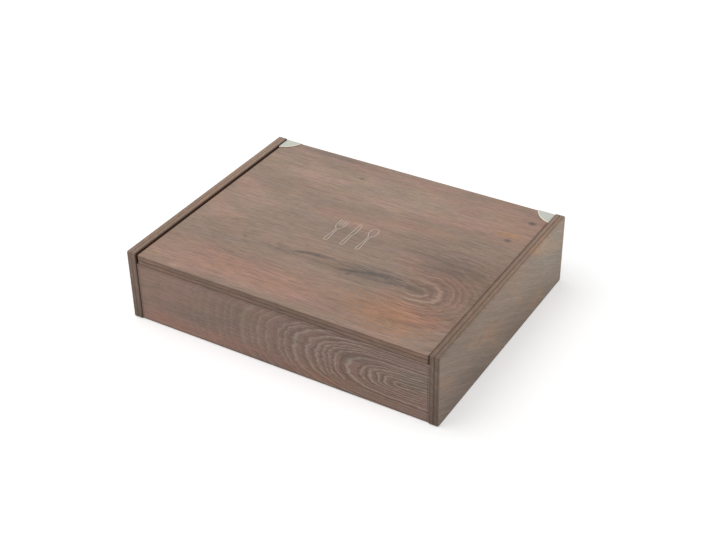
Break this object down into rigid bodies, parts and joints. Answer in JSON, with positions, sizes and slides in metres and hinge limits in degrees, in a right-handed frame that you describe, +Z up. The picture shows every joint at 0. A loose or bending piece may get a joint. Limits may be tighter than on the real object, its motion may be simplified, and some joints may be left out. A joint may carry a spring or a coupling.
{
  "type": "cutlery chest",
  "caption": "Low wooden chest for table cutlery: a lid on corner pivot hinges between proud side panels, over lined bays with knife combs and notched cradles.",
  "frame": {"origin": "middle of the footprint, on the surface that the chest stands on", "axes": "+Z up, +X to the right of someone who faces the front, the front towards -Y, the hinges at +Y"},
  "size_m": [0.4, 0.314, 0.0905],
  "materials": {
    "decor_board": "weathered walnut foil, satin",
    "hardboard": "raw hardboard",
    "dowel_wood": "raw beech",
    "lining_felt": "dark felt",
    "lining_velvet": "dark velvet",
    "satin_nickel": "satin nickel plate",
    "hinge_steel": "bright zinc plate",
    "bush_brass": "turned brass"
  },
  "bodies": {
    "carcass": {"left_side_outer_ply": "decor_board", "left_side_inner_ply": "decor_board", "right_side_outer_ply": "decor_board", "right_side_inner_ply": "decor_board", "front_panel": "decor_board", "back_panel": "decor_board", "bottom_panel": "hardboard", "panel_dowels": "dowel_wood", "base_lining": "lining_felt", "front_liner": "lining_velvet", "back_liner": "lining_velvet", "left_liner": "lining_velvet", "right_liner": "lining_velvet", "knife_divider": "decor_board", "fork_divider": "decor_board", "spoon_divider": "decor_board", "cross_divider": "decor_board", "knife_comb_front": "decor_board", "knife_comb_rear": "decor_board", "fork_cradle_front": "decor_board", "fork_cradle_rear": "decor_board", "spoon_cradle_front": "decor_board", "spoon_cradle_rear": "decor_board", "teaspoon_cradle": "decor_board", "small_piece_cradle": "decor_board", "left_hinge_bush": "bush_brass", "right_hinge_bush": "bush_brass"},
    "lid": {"lid_top_ply": "decor_board", "lid_bottom_ply": "decor_board", "lid_lining_pad": "lining_velvet", "left_hinge_plate": "satin_nickel", "right_hinge_plate": "satin_nickel", "left_hinge_pin": "hinge_steel", "right_hinge_pin": "hinge_steel", "hinge_screws": "hinge_steel"}
  },
  "joints": [
    {"name": "lid_hinge", "type": "hinge", "parent": "carcass", "child": "lid", "pos_m": [0, 0.1505, 0.0821], "axis": [-1, 0, 0], "range_deg": [0, 95]}
  ]
}
